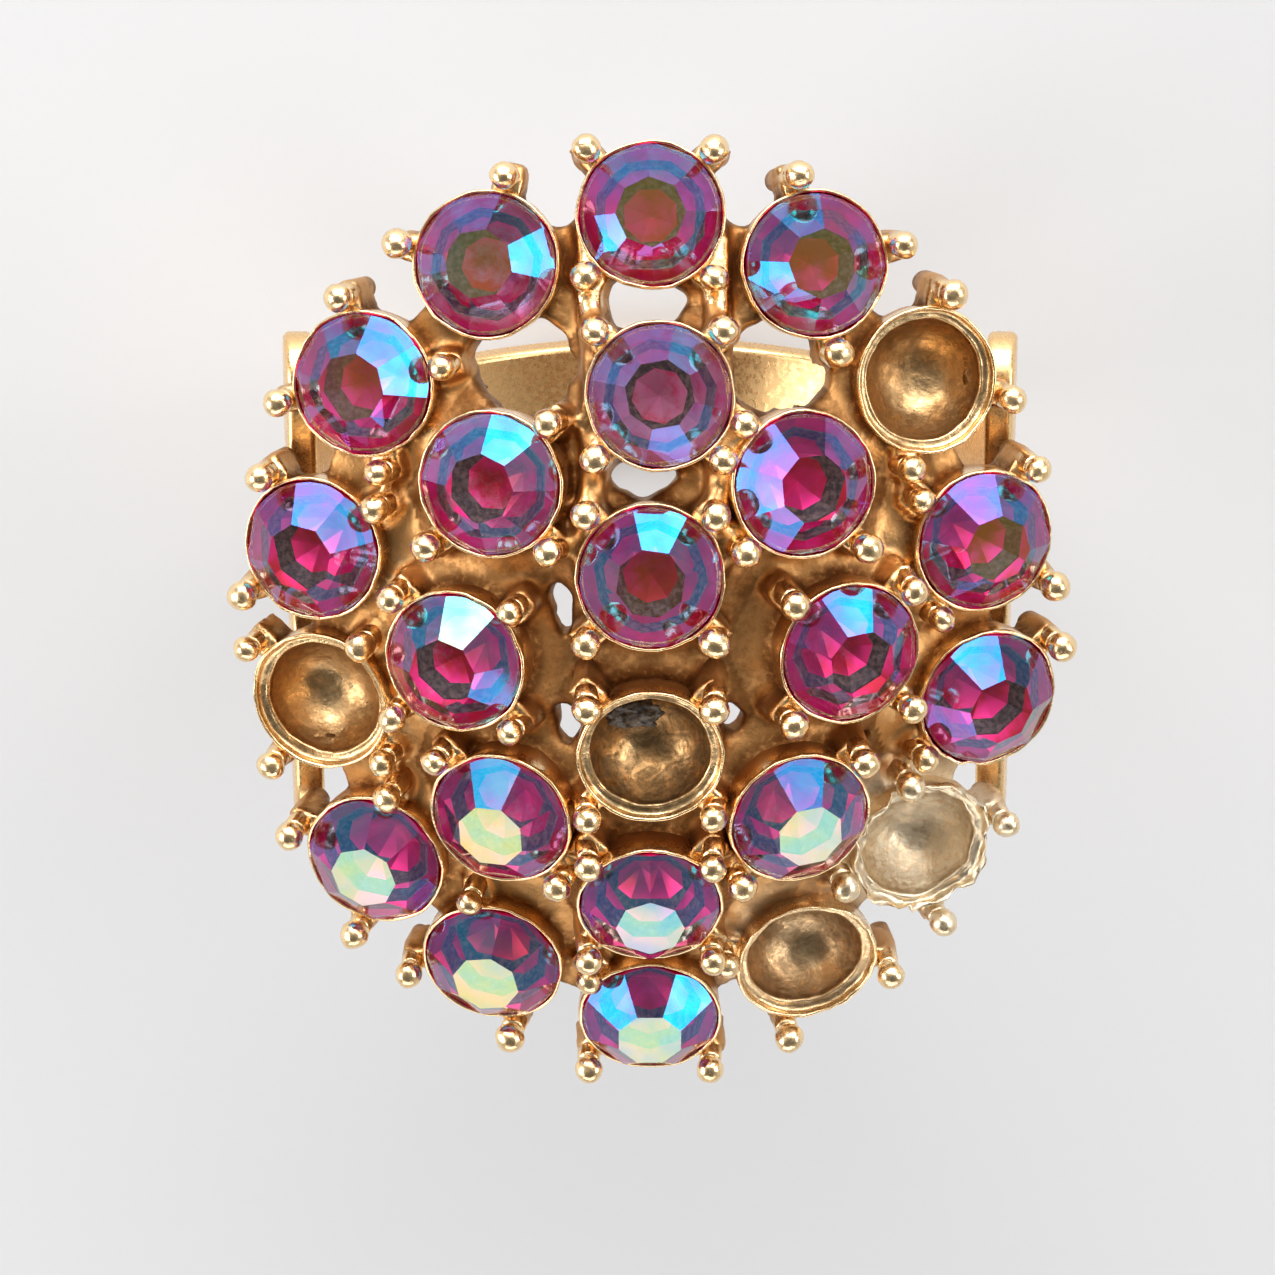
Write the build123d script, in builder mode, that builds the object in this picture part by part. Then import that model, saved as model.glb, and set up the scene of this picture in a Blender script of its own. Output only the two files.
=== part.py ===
"""Cocktail ring: a two-tier open dome of claw-framed round stones on a wide, fixed hoop.

Frame: the finger runs along Y through the origin, the dome faces +Z and +Y is the top of the dome.
The head is one lost-wax casting: 24 stone cups, the claws that frame them, the bars that tie them
together and the feet that stand on the hoop. The hoop is soldered to the feet. Nineteen cups hold a
foil-backed stone bedded in cement, and five are empty. Sizes are in millimetres.
"""

import os
from itertools import combinations
from math import atan2, cos, hypot, pi, radians, sin

from build123d import *

# ---- Driving dimensions -------------------------------------------------------------------------
FINGER_R = 9.3            # finger bore radius
HOOP_WALL = 0.85          # thickness of the hoop
HOOP_BACK_WIDTH = 3.5     # width of the hoop at the palm side
HOOP_SIDE_WIDTH = 6.6     # width level with the finger's middle
HOOP_TOP_WIDTH = 16.6     # width of the two shoulders where they meet the head
SHOULDER_CORNER_R = 1.3   # rounding of each shoulder's top corner
HOOP_EDGE_R = 0.2         # rounding of the hoop's long edges
ARM_LEAVES_AT = 12.0      # degrees below the equator where the arms leave the finger circle
FOOT_PLANE_Z = FINGER_R + 0.3    # flat solder joint between the hoop and the head's feet
ARM_TOP_X = FINGER_R + 0.15      # inner face of each arm at the solder joint

CROWN_RISE = 6.4          # height of the two crown stones above the solder joint
CROWN_Z = FOOT_PLANE_Z + CROWN_RISE
INNER_DROP = 1.2          # how far the inner row sits below the crown pair
OUTER_DROP = 3.8          # how far the outer row sits below the crown pair
CROWN_HALF_GAP = 2.65     # each crown stone's distance from the middle
INNER_COUNT, INNER_HALF_X, INNER_HALF_Y, INNER_TILT = 8, 5.55, 7.6, 19.0
OUTER_COUNT, OUTER_HALF_X, OUTER_HALF_Y, OUTER_TILT = 14, 9.6, 11.9, 20.0
CROWN_TILT = 9.0

STONE_R = 1.95            # stone radius at the girdle
TABLE_R = 0.90            # across-flats radius of the eight-sided table
STONE_CROWN = 1.0         # height of the table above the girdle
GIRDLE = 0.12             # girdle thickness
PAVILION = 1.50           # depth of the point below the girdle
POINT_R = 0.12            # blunted point

SEAT_CLEARANCE = 0.02     # stone to seat
CUP_WALL = 0.11           # rim wall outside the seat
RIM_TOP = 0.05            # rim above the girdle plane
POINT_CLEARANCE = 0.20    # stone's point to the bottom of the bowl, filled with cement
CUP_FLOOR = 0.28          # thickness of the cup under the bowl
BOWL_DEPTH = GIRDLE + PAVILION + POINT_CLEARANCE   # bottom of the bowl below the girdle plane
CUP_DEPTH = BOWL_DEPTH + CUP_FLOOR                 # cup height below the girdle plane
CUP_FOOT_R = 1.45         # radius of the cup's flat underside
LEDGE_WIDTH = 0.25        # width of the seat's sloping ledge
LEDGE_R = STONE_R - LEDGE_WIDTH
CEMENT_TOP = 0.75         # the cement stops this far below the girdle plane

CLAW_REACH = 2.50         # claw axis to cup axis
CLAW_R = 0.36             # claw post radius
FIN_WIDTH = 0.6           # width of the fin that joins a claw to its cup
CLAW_BALL_R = 0.42        # polished bead on the claw's tip
CLAW_BALL_Z = 0.40        # bead centre above the girdle plane
CLAW_ROOT = 1.75          # claw root below the girdle plane
CLAW_SEAT_GAP = 2.35      # a claw nearer than this to a neighbour's cup axis is left off
CLAW_PITCH = 0.85         # and so is one nearer than this to another claw

BAR_WIDTH, BAR_TOP, BAR_BOTTOM = 1.5, 0.95, 1.75   # bars between neighbours, below the girdle plane
BAR_REACH = 6.3           # cups closer than this are tied by a bar
FOOT_WIDTH = 2.6          # width of each foot along Y
CLAWS_AT_ONCE = 12        # claws joined to the casting in one step, which keeps each join small

RIM_R = STONE_R + SEAT_CLEARANCE + CUP_WALL
LEDGE_Z = -GIRDLE - (STONE_R + SEAT_CLEARANCE - LEDGE_R) * PAVILION / (STONE_R - POINT_R)

# Cups that have lost their stone, and claws that are missing: (cup, claw's angle in the cup's plane).
EMPTY = {"outer_03", "outer_06", "outer_07", "outer_11", "crown_02"}
LOST_CLAWS = {("outer_05", 45), ("inner_02", 45), ("inner_04", 315), ("inner_04", 135),
              ("inner_06", 225), ("inner_06", 45), ("inner_08", 135)}
# Cups that the wax carver set a little off the even spacing, in X and Y.
SET_OFF = {"outer_03": (-0.1, 0.2), "outer_05": (0.2, 0.1), "outer_08": (0, -0.3),
           "outer_10": (-0.1, -0.35), "outer_12": (-0.1, -0.25), "outer_13": (-0.2, 0.1),
           "inner_01": (0.25, -0.1), "inner_07": (0.1, -0.25), "inner_08": (-0.2, 0)}
# How far each stone is turned in its seat, in degrees.
SPIN = {"outer_01": 25, "outer_02": 7, "outer_04": 6, "outer_05": 27, "outer_10": 33, "outer_14": 22,
        "inner_01": 10, "inner_02": 5, "inner_03": 5, "inner_04": 3, "inner_05": 22.5, "inner_06": 3,
        "inner_07": 28, "inner_08": 20, "crown_01": 37}


# ---- Layout -------------------------------------------------------------------------------------
def even_ellipse(half_x, half_y, count, steps=2000):
    """Points at equal distances along an ellipse, clockwise from its +Y end."""
    walk = [(half_x * sin(2 * pi * i / steps), half_y * cos(2 * pi * i / steps)) for i in range(steps + 1)]
    lengths = [0.0]
    for here, there in zip(walk, walk[1:]):
        lengths.append(lengths[-1] + hypot(there[0] - here[0], there[1] - here[1]))
    return [walk[min(range(steps), key=lambda i, k=k: abs(lengths[i] - lengths[-1] * k / count))]
            for k in range(count)]


def cup_plane(name, x, y, z, tilt, out_x, out_y, radial):
    """The girdle plane of a cup: origin on its axis, Z along the cup, leaning outwards by tilt."""
    off_x, off_y = SET_OFF.get(name, (0, 0))
    size = hypot(out_x, out_y)
    out_x, out_y = out_x / size, out_y / size
    axis = Vector(sin(radians(tilt)) * out_x, sin(radians(tilt)) * out_y, cos(radians(tilt)))
    across = Vector(out_y, -out_x, 0) if radial else Vector(1, 0, 0) - axis * axis.X
    return Plane(origin=(x + off_x, y + off_y, z), x_dir=across, z_dir=axis)


def row(prefix, half_x, half_y, count, drop, tilt, radial):
    """One oval row of cups, numbered clockwise from +Y."""
    planes = {}
    for number, (x, y) in enumerate(even_ellipse(half_x, half_y, count), start=1):
        name = f"{prefix}_{number:02d}"
        planes[name] = cup_plane(name, x, y, CROWN_Z - drop, tilt, x / half_x**2, y / half_y**2, radial)
    return planes


CUPS = {f"crown_{n:02d}": cup_plane(f"crown_{n:02d}", 0, side * CROWN_HALF_GAP, CROWN_Z, CROWN_TILT,
                                    0, side, False)
        for n, side in ((1, 1), (2, -1))}
CUPS |= row("inner", INNER_HALF_X, INNER_HALF_Y, INNER_COUNT, INNER_DROP, INNER_TILT, radial=False)
CUPS |= row("outer", OUTER_HALF_X, OUTER_HALF_Y, OUTER_COUNT, OUTER_DROP, OUTER_TILT, radial=True)


def claw_places():
    """(cup's plane, claw's angle round it) for each claw that has room to stand."""
    beads, places = [], []
    for name, plane in CUPS.items():
        for angle in (45, 135, 225, 315):
            x, y = CLAW_REACH * cos(radians(angle)), CLAW_REACH * sin(radians(angle))
            bead = plane.from_local_coords(Vector(x, y, CLAW_BALL_Z))
            near = [other.to_local_coords(bead) for key, other in CUPS.items() if key != name]
            crowded = any(hypot(p.X, p.Y) < CLAW_SEAT_GAP and abs(p.Z) < CUP_DEPTH for p in near)
            taken = any((bead - other).length < CLAW_PITCH for other in beads)
            if (name, angle) in LOST_CLAWS or crowded or taken:
                continue
            beads.append(bead)
            places.append((plane, angle))
    return places


# ---- Pieces -------------------------------------------------------------------------------------
def bowl_arc(top_r, top_z):
    """The bowl's round bottom, from its edge down to the cup's axis. Its centre is on the axis."""
    sag = BOWL_DEPTH + top_z
    round_r = (top_r**2 + sag**2) / (2 * sag)
    turn = atan2(top_r, round_r - sag) / 2
    halfway = (round_r * sin(turn), round_r - BOWL_DEPTH - round_r * cos(turn))
    return ThreePointArc((top_r, top_z), halfway, (0, -BOWL_DEPTH))


def make_cup_blank():
    """A cup before it is bored: a straight rim over a wall that narrows in two steps to a flat foot."""
    with BuildPart() as blank:
        with BuildSketch(Plane.XZ):
            with BuildLine():
                Polyline((0, -CUP_DEPTH), (CUP_FOOT_R, -CUP_DEPTH), (RIM_R - 0.12, -CUP_DEPTH * 0.58),
                         (RIM_R, -CUP_DEPTH * 0.2), (RIM_R, RIM_TOP), (0, RIM_TOP), close=True)
            make_face()
        revolve(axis=Axis.Z)
    return blank.part


def make_seat_tool():
    """What the seat cutter takes out of a cup: a straight bore, the sloping ledge and the bowl."""
    seat_r = STONE_R + SEAT_CLEARANCE
    with BuildPart() as tool:
        with BuildSketch(Plane.XZ):
            with BuildLine():
                Polyline((0, -BOWL_DEPTH), (0, STONE_CROWN), (seat_r, STONE_CROWN), (seat_r, -GIRDLE),
                         (LEDGE_R, LEDGE_Z))
                bowl_arc(LEDGE_R, LEDGE_Z)
            make_face()
        revolve(axis=Axis.Z)
    return tool.part


def make_claw():
    """A claw on the X side of a cup: a round post with a bead on its tip, and the fin that joins it on."""
    neck_z = CLAW_BALL_Z - (CLAW_BALL_R**2 - CLAW_R**2) ** 0.5
    with BuildPart() as claw:
        with BuildSketch(Plane.XZ):
            with BuildLine():
                Polyline((CLAW_REACH, CLAW_BALL_Z + CLAW_BALL_R), (CLAW_REACH, -CLAW_ROOT),
                         (CLAW_REACH + CLAW_R, -CLAW_ROOT), (CLAW_REACH + CLAW_R, neck_z))
                ThreePointArc((CLAW_REACH + CLAW_R, neck_z), (CLAW_REACH + CLAW_BALL_R, CLAW_BALL_Z),
                              (CLAW_REACH, CLAW_BALL_Z + CLAW_BALL_R))
            make_face()
        revolve(axis=Axis((CLAW_REACH, 0, 0), (0, 0, 1)))
        fin_in = STONE_R - 0.1
        with Locations(((fin_in + CLAW_REACH) / 2, 0, -(CLAW_ROOT + 0.15) / 2)):
            Box(CLAW_REACH - fin_in, FIN_WIDTH, CLAW_ROOT - 0.35)
    return claw.part


def bar_plane(a, b):
    """Midway between two cups: X towards the second cup, Z up between the two cup axes."""
    along = b.origin - a.origin
    up = a.z_dir + b.z_dir
    up = up - along * (up.dot(along) / along.dot(along))
    return Plane(origin=(a.origin + b.origin) * 0.5, x_dir=along, z_dir=up)


def make_bars():
    """A flat bar between each pair of neighbouring cups, with its ends inside the cup walls."""
    bars = []
    for (_, a), (_, b) in combinations(CUPS.items(), 2):
        span = (b.origin - a.origin).length
        if span < BAR_REACH:
            with BuildPart(bar_plane(a, b)) as bar:
                with Locations((0, 0, -(BAR_TOP + BAR_BOTTOM) / 2)):
                    Box(span - STONE_R, BAR_WIDTH, BAR_BOTTOM - BAR_TOP)
            bars.append(bar.part)
    return bars


def make_feet():
    """Four feet under the widest part of the outer row. They stand on the hoop's two shoulders."""
    foot_top = CROWN_Z - OUTER_DROP - CUP_DEPTH / 2
    feet = []
    for side, name in ((1, "outer_04"), (1, "outer_05"), (-1, "outer_11"), (-1, "outer_12")):
        with BuildPart() as foot:
            with Locations((side * (ARM_TOP_X + HOOP_WALL / 2), CUPS[name].origin.Y, FOOT_PLANE_Z)):
                Box(HOOP_WALL, FOOT_WIDTH, foot_top - FOOT_PLANE_Z,
                    align=(Align.CENTER, Align.CENTER, Align.MIN))
        feet.append(foot.part)
    return feet


def make_head():
    """The one-piece casting: cups, claws, bars and feet, with the seats and bowls cut last."""
    blank, seat_tool, claw = make_cup_blank(), make_seat_tool(), make_claw()
    cups = [plane.location * blank for plane in CUPS.values()]
    claws = [plane.location * Rotation(0, 0, angle) * claw for plane, angle in claw_places()]
    seats = [plane.location * seat_tool for plane in CUPS.values()]
    with BuildPart() as head:
        add(make_bars())
        add(cups + make_feet())
        for first in range(0, len(claws), CLAWS_AT_ONCE):
            add(claws[first:first + CLAWS_AT_ONCE])
        add(seats, mode=Mode.SUBTRACT)
    return head.part


def make_hoop():
    """The hoop: a U round the finger, narrow at the palm side, with two wide shoulders."""
    reach = radians(ARM_LEAVES_AT)
    outer_r = FINGER_R + HOOP_WALL
    tip_out = (ARM_TOP_X + HOOP_WALL, FOOT_PLANE_Z)
    tip_in = (ARM_TOP_X, FOOT_PLANE_Z)
    leave_out = (outer_r * cos(reach), -outer_r * sin(reach))
    leave_in = (FINGER_R * cos(reach), -FINGER_R * sin(reach))
    lean = (sin(reach), cos(reach))
    depth = outer_r + 1.0
    widths = [(HOOP_BACK_WIDTH / 2, -depth), (HOOP_BACK_WIDTH / 2 + 0.1, -FINGER_R * 0.65),
              (HOOP_SIDE_WIDTH / 2, 0), (HOOP_TOP_WIDTH * 0.34, FOOT_PLANE_Z - 4.6),
              (HOOP_TOP_WIDTH / 2, FOOT_PLANE_Z)]
    with BuildPart() as hoop:
        with BuildSketch(Plane.XZ):
            with BuildLine():
                ThreePointArc((0, -outer_r), (outer_r * sin(pi / 4), -outer_r * cos(pi / 4)), leave_out)
                TangentArc(leave_out, tip_out, tangent=lean)
                Line(tip_out, tip_in)
                TangentArc(leave_in, tip_in, tangent=lean)
                ThreePointArc(leave_in, (FINGER_R * sin(pi / 4), -FINGER_R * cos(pi / 4)), (0, -FINGER_R))
                Line((0, -FINGER_R), (0, -outer_r))
            make_face()
            mirror(about=Plane.YZ)
        extrude(amount=HOOP_TOP_WIDTH, both=True)
        with BuildSketch(Plane.YZ) as silhouette:
            with BuildLine():
                Spline(*widths)
                Line(widths[-1], (0, FOOT_PLANE_Z))
                Line((0, FOOT_PLANE_Z), (0, -depth))
                Line((0, -depth), widths[0])
            make_face()
            fillet(silhouette.vertices().sort_by(Axis.Y)[-2:].sort_by(Axis.X)[-1], SHOULDER_CORNER_R)
            mirror(about=Plane.YZ)
        extrude(amount=2 * outer_r, both=True, mode=Mode.INTERSECT)
        long_edges = hoop.edges().filter_by(
            lambda edge: edge.center().Z < FOOT_PLANE_Z - 0.01 and edge.length > 4)
        fillet(long_edges, min(HOOP_EDGE_R, HOOP_WALL * 0.4))
    return hoop.part


def make_stone():
    """A round stone: eight-sided table and crown cut by the round girdle, over an eight-sided pavilion."""
    with BuildPart() as stone:
        with BuildSketch():
            RegularPolygon(STONE_R, 8, major_radius=False)
        with BuildSketch(Plane.XY.offset(STONE_CROWN)):
            RegularPolygon(TABLE_R, 8, major_radius=False)
        loft()
        with BuildSketch():
            Circle(STONE_R)
        extrude(amount=STONE_CROWN, mode=Mode.INTERSECT)
        with BuildSketch(Plane.XY.offset(-GIRDLE)):
            Circle(STONE_R)
        extrude(amount=GIRDLE)
        with BuildSketch(Plane.XY.offset(-GIRDLE)):
            RegularPolygon(STONE_R, 8)
        with BuildSketch(Plane.XY.offset(-GIRDLE - PAVILION)):
            RegularPolygon(POINT_R, 8)
        loft()
    return stone.part


def make_cement_bed(stone):
    """The cement between a stone's point and its bowl. The stone's own shape is pressed into it."""
    sag = BOWL_DEPTH + LEDGE_Z
    bowl_r = (LEDGE_R**2 + sag**2) / (2 * sag)
    bed_r = (bowl_r**2 - (BOWL_DEPTH - bowl_r - CEMENT_TOP) ** 2) ** 0.5
    with BuildPart() as bed:
        with BuildSketch(Plane.XZ):
            with BuildLine():
                Polyline((0, -BOWL_DEPTH), (0, -CEMENT_TOP), (bed_r, -CEMENT_TOP))
                bowl_arc(bed_r, -CEMENT_TOP)
            make_face()
        revolve(axis=Axis.Z)
        add(stone, mode=Mode.SUBTRACT)
    return bed.part


def write(part, name):
    """Label a piece and write it to its own STEP file."""
    part.label = name
    export_step(part, f"parts/{name}.step")


os.makedirs("parts", exist_ok=True)
write(make_head(), "head_casting")
write(make_hoop(), "hoop")
gem = make_stone()
bed = make_cement_bed(gem)
cement = []
for cup, girdle_plane in CUPS.items():
    if cup in EMPTY:
        continue
    seated = girdle_plane.location * Rotation(0, 0, SPIN.get(cup, 0))
    write(seated * gem, f"stone_{cup}")
    cement.append(seated * bed)
with BuildPart() as cement_beds:
    add(cement)
write(cement_beds.part, "cement_beds")
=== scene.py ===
"""Cocktail ring: a worn gilt casting of claw-framed cups, iridescent stones and a wide hoop.

The dome is laid out from a few driving sizes, in millimetres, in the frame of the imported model: the
finger runs along Y, the dome faces +Z. Every mesh is made in millimetres and scaled to metres last.
"""

import logging
from dataclasses import dataclass, field
from enum import Enum
from itertools import combinations
from math import atan2, cos, hypot, pi, radians, sin, sqrt

import bmesh
import bpy
import numpy as np
from mathutils import Matrix, Quaternion, Vector, noise
from mathutils.geometry import delaunay_2d_cdt


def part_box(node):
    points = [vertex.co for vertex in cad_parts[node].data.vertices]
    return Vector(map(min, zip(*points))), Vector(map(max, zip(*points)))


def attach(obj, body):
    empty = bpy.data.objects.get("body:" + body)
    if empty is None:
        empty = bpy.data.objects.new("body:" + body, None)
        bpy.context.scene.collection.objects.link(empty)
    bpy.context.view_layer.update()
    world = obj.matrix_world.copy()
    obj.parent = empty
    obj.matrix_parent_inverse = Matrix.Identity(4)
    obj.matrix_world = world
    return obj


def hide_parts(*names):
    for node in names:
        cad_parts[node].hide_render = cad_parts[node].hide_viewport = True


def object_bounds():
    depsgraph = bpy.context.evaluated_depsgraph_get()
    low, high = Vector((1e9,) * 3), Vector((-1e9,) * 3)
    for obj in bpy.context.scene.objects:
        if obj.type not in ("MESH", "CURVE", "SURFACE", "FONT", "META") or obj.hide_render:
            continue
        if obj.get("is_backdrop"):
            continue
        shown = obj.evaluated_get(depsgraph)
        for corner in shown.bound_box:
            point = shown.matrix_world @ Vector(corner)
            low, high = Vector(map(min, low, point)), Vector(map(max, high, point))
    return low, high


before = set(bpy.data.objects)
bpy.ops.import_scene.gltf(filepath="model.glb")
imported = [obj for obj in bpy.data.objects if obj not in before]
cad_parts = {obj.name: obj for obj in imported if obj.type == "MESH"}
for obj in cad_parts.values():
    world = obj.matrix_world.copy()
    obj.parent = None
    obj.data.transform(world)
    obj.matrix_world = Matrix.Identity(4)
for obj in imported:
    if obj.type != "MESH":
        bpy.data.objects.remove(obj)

LOG = logging.getLogger("cocktail_ring")
MM = 0.001
BODY = "root"


class Row(Enum):
    """The three groups of cups."""

    CROWN = "crown"
    INNER = "inner"
    OUTER = "outer"


# ---- Layout of the dome -------------------------------------------------------------------------
@dataclass(frozen=True)
class Seat:
    """One cup's girdle plane.

    Args:
        name: The row and the number, clockwise from +Y.
        row: The group that the cup belongs to.
        centre: Its axis at the girdle, in millimetres.
        turn: Rotation from the cup's own axes to the ring's.
        spin: How far its stone is turned in the seat, in degrees.
        stone: False where the stone is lost.
    """

    name: str
    row: Row
    centre: Vector
    turn: Quaternion
    spin: float
    stone: bool

    @property
    def axis(self) -> Vector:
        """The direction that the cup opens in."""
        return self.turn @ Vector((0, 0, 1))

    def place(self, x: float, y: float, z: float) -> Vector:
        """A point given in the cup's own axes, in the ring's axes."""
        return self.centre + self.turn @ Vector((x, y, z))

    def local(self, points: np.ndarray) -> np.ndarray:
        """Points in the ring's axes, given in the cup's own axes.

        Args:
            points: One row of x, y, z for each point.

        Returns:
            The same rows in the cup's axes.
        """
        turn = np.array(self.turn.to_matrix())
        return (points - np.array(self.centre)) @ turn


@dataclass
class DomeLayout:
    """Where the 24 cups and their claws stand."""

    crown_z: float = 16.0
    crown_half_gap: float = 2.65
    crown_tilt: float = 9.0
    inner: tuple = (8, 5.55, 7.6, 1.2, 19.0)
    outer: tuple = (14, 9.6, 11.9, 3.8, 20.0)
    claw_reach: float = 2.5
    claw_seat_gap: float = 2.35
    claw_pitch: float = 0.85
    bead_z: float = 0.4
    cup_depth: float = 2.1
    empty: frozenset = frozenset({"outer_03", "outer_06", "outer_07", "outer_11", "crown_02"})
    lost_claws: frozenset = frozenset({
        ("outer_05", 45), ("inner_02", 45), ("inner_04", 315), ("inner_04", 135),
        ("inner_06", 225), ("inner_06", 45), ("inner_08", 135)})
    set_off: dict = field(default_factory=lambda: {
        "outer_03": (-0.1, 0.2), "outer_05": (0.2, 0.1), "outer_08": (0, -0.3), "outer_10": (-0.1, -0.35),
        "outer_12": (-0.1, -0.25), "outer_13": (-0.2, 0.1), "inner_01": (0.25, -0.1),
        "inner_07": (0.1, -0.25), "inner_08": (-0.2, 0)})
    spin: dict = field(default_factory=lambda: {
        "outer_01": 25, "outer_02": 7, "outer_04": 6, "outer_05": 27, "outer_10": 33, "outer_14": 22,
        "inner_01": 10, "inner_02": 5, "inner_03": 5, "inner_04": 3, "inner_05": 22.5, "inner_06": 3,
        "inner_07": 28, "inner_08": 20, "crown_01": 37})

    def __post_init__(self) -> None:
        """Works the seats and claws out once."""
        self.seats = self._crown() + self._row(Row.INNER, self.inner, False) + self._row(Row.OUTER, self.outer, True)
        self.claws = self._claws()

    @staticmethod
    def _even_ellipse(half_x: float, half_y: float, count: int, steps: int = 2000) -> list[tuple[float, float]]:
        """Points at equal distances along an ellipse, clockwise from its +Y end."""
        walk = [(half_x * sin(2 * pi * i / steps), half_y * cos(2 * pi * i / steps)) for i in range(steps + 1)]
        lengths = np.cumsum([0.0] + [hypot(b[0] - a[0], b[1] - a[1]) for a, b in zip(walk, walk[1:])])
        return [walk[int(np.argmin(abs(lengths[:steps] - lengths[-1] * k / count)))] for k in range(count)]

    def _seat(self, row: Row, number: int, x: float, y: float, z: float, tilt: float,
              out: Vector, radial: bool) -> Seat:
        """One seat whose axis leans outwards by tilt degrees."""
        name = f"{row.value}_{number:02d}"
        off_x, off_y = self.set_off.get(name, (0, 0))
        out = out.normalized()
        axis = Vector((sin(radians(tilt)) * out.x, sin(radians(tilt)) * out.y, cos(radians(tilt))))
        across = Vector((out.y, -out.x, 0)) if radial else (Vector((1, 0, 0)) - axis * axis.x).normalized()
        turn = Matrix((across, axis.cross(across), axis)).transposed().to_quaternion()
        return Seat(name, row, Vector((x + off_x, y + off_y, z)), turn, self.spin.get(name, 0.0),
                    name not in self.empty)

    def _crown(self) -> list[Seat]:
        """The pair at the top of the dome."""
        return [self._seat(Row.CROWN, n, 0, side * self.crown_half_gap, self.crown_z, self.crown_tilt,
                           Vector((0, side)), False) for n, side in ((1, 1), (2, -1))]

    def _row(self, row: Row, sizes: tuple, radial: bool) -> list[Seat]:
        """One oval row of seats."""
        count, half_x, half_y, drop, tilt = sizes
        return [self._seat(row, n, x, y, self.crown_z - drop, tilt, Vector((x / half_x**2, y / half_y**2)), radial)
                for n, (x, y) in enumerate(self._even_ellipse(half_x, half_y, count), start=1)]

    def _claws(self) -> list[tuple[Seat, float]]:
        """(seat, angle round it) for each claw that has room to stand."""
        beads: list[Vector] = []
        kept = []
        for seat in self.seats:
            for angle in (45, 135, 225, 315):
                reach = self.claw_reach
                bead = seat.place(reach * cos(radians(angle)), reach * sin(radians(angle)), self.bead_z)
                near = [other.local(np.array([bead]))[0] for other in self.seats if other is not seat]
                crowded = any(hypot(p[0], p[1]) < self.claw_seat_gap and abs(p[2]) < self.cup_depth for p in near)
                taken = any((bead - other).length < self.claw_pitch for other in beads)
                if (seat.name, angle) in self.lost_claws or crowded or taken:
                    continue
                beads.append(bead)
                kept.append((seat, float(angle)))
        return kept

    def depth_below_girdle(self, points: np.ndarray) -> np.ndarray:
        """How far each point lies under the girdle plane of the cup nearest to it, in millimetres."""
        best = np.full(len(points), 1e9)
        depth = np.zeros(len(points))
        for seat in self.seats:
            own = seat.local(points)
            reach = np.hypot(own[:, 0], own[:, 1])
            nearer = reach < best
            depth[nearer] = -own[nearer, 2]
            best = np.minimum(best, reach)
        return depth


# ---- Mesh helpers -------------------------------------------------------------------------------
def mesh_object(name: str, verts: list, faces: list) -> bpy.types.Object:
    """A new linked object from vertices and faces, with its normals made consistent.

    Args:
        name: Name of the object and its mesh.
        verts: Points in millimetres.
        faces: Index tuples.

    Returns:
        The object, at the origin.
    """
    mesh = bpy.data.meshes.new(name)
    mesh.from_pydata([tuple(v) for v in verts], [], faces)
    made = bmesh.new()
    made.from_mesh(mesh)
    bmesh.ops.remove_doubles(made, verts=made.verts, dist=1e-5)
    bmesh.ops.recalc_face_normals(made, faces=made.faces)
    made.to_mesh(mesh)
    made.free()
    obj = bpy.data.objects.new(name, mesh)
    bpy.context.collection.objects.link(obj)
    return obj


def lathe(profile: list[tuple[float, float]], segments: int) -> tuple[list, list]:
    """A closed turned shape about Z.

    Args:
        profile: (radius, height) from one end of the axis to the other.
        segments: Steps round the axis.

    Returns:
        The vertices and the faces.
    """
    verts, faces, rings = [], [], []
    for r, z in profile:
        if r < 1e-6:
            rings.append([len(verts)])
            verts.append(Vector((0, 0, z)))
            continue
        rings.append(list(range(len(verts), len(verts) + segments)))
        verts += [Vector((r * cos(2 * pi * k / segments), r * sin(2 * pi * k / segments), z)) for k in range(segments)]
    for low, high in zip(rings, rings[1:]):
        for k in range(segments):
            n = (k + 1) % segments
            if len(low) == 1:
                faces.append((low[0], high[n], high[k]))
            elif len(high) == 1:
                faces.append((low[k], low[n], high[0]))
            else:
                faces.append((low[k], low[n], high[n], high[k]))
    return verts, faces


def box_between(a: Vector, b: Vector, up: Vector, width: float, height: float) -> tuple[list, list]:
    """A bar from a to b, width across and height along up."""
    along = (b - a).normalized()
    side = along.cross(up).normalized() * width / 2
    rise = side.cross(along).normalized() * height / 2
    verts = [end + s * side + r * rise for end in (a, b) for s, r in ((-1, -1), (1, -1), (1, 1), (-1, 1))]
    faces = [(0, 1, 2, 3), (7, 6, 5, 4), (0, 4, 5, 1), (1, 5, 6, 2), (2, 6, 7, 3), (3, 7, 4, 0)]
    return verts, faces


def evaluated_mesh(obj: bpy.types.Object) -> bpy.types.Mesh:
    """The object's mesh with its modifiers applied, as new data."""
    graph = bpy.context.evaluated_depsgraph_get()
    return bpy.data.meshes.new_from_object(obj.evaluated_get(graph))


def settle(obj: bpy.types.Object) -> None:
    """Replaces an object's mesh by its evaluated one and takes every modifier off."""
    mesh = evaluated_mesh(obj)
    obj.modifiers.clear()
    obj.data = mesh


def points_of(mesh: bpy.types.Mesh) -> np.ndarray:
    """The mesh's vertices as rows of x, y, z."""
    flat = np.empty(len(mesh.vertices) * 3)
    mesh.vertices.foreach_get("co", flat)
    return flat.reshape(-1, 3)


def set_points(mesh: bpy.types.Mesh, points: np.ndarray) -> None:
    """Moves the mesh's vertices to the given rows."""
    mesh.vertices.foreach_set("co", points.astype(np.float32).ravel())
    mesh.update()


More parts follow.
